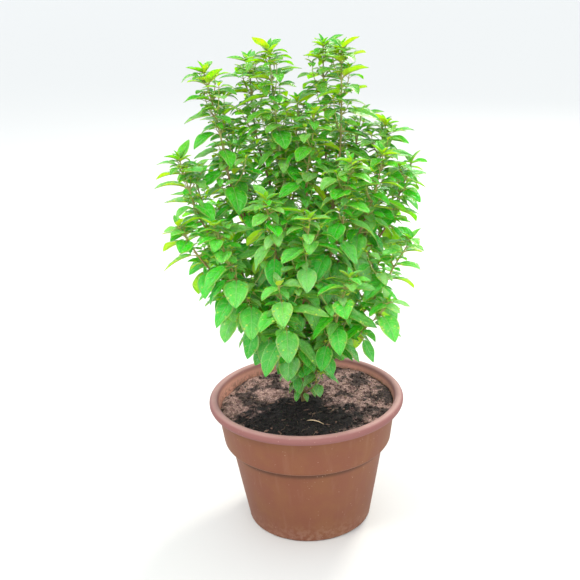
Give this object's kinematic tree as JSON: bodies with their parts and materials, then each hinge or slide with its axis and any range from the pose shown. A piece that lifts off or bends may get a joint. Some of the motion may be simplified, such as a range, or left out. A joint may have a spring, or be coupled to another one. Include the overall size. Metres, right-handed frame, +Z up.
{
  "type": "potted lemon basil plant",
  "caption": "Bushy potted herb with one woody stem and leafy side stems in a round plastic pot with a rolled rim, for a sill, table or floor.",
  "frame": {"origin": "centre of the pot's flat underside, on the surface that it stands on", "axes": "+Z up along the pot's axis, -Y towards the front of the plant, +X to the right seen from the front"},
  "size_m": [0.4005, 0.3458, 0.7543],
  "materials": {
    "pot_plastic": "matte terracotta-coloured moulded plastic with faint speckle",
    "potting_soil": "crumbly dark potting mix with dry brown fibres",
    "woody_stem": "smooth tan-green stem with brown streaks",
    "leaf": "soft satin leaf with fine veins and paler margins"
  },
  "bodies": {
    "root": {"pot": "pot_plastic", "soil": "potting_soil", "main_stem": "woody_stem", "right_tall": "leaf", "left_tall": "leaf", "right_rear_tall": "leaf", "left_rear_tall": "leaf", "left_rear_mid": "leaf", "far_left": "leaf", "centre_rear": "leaf", "centre_front": "leaf", "right_mid": "leaf", "right_high": "leaf", "right_front_high": "leaf", "right_front_mid": "leaf", "far_right": "leaf", "far_right_rear": "leaf", "far_right_low": "leaf", "right_low": "leaf", "left_front_high": "leaf", "centre_front_mid": "leaf", "left_front_mid": "leaf", "far_left_mid": "leaf", "left_low": "leaf", "front_low": "leaf", "right_front_low": "leaf", "right_foot": "leaf", "left_foot": "leaf", "rear_foot": "leaf", "front_foot": "leaf", "lowest": "leaf", "rear_tall": "leaf", "left_back_high": "leaf", "right_back_high": "leaf", "far_left_rear": "leaf", "left_back_mid": "leaf", "rear_mid": "leaf", "right_back_mid": "leaf", "left_rear_low": "leaf", "right_rear_low": "leaf", "rear_low": "leaf"}
  },
  "joints": []
}
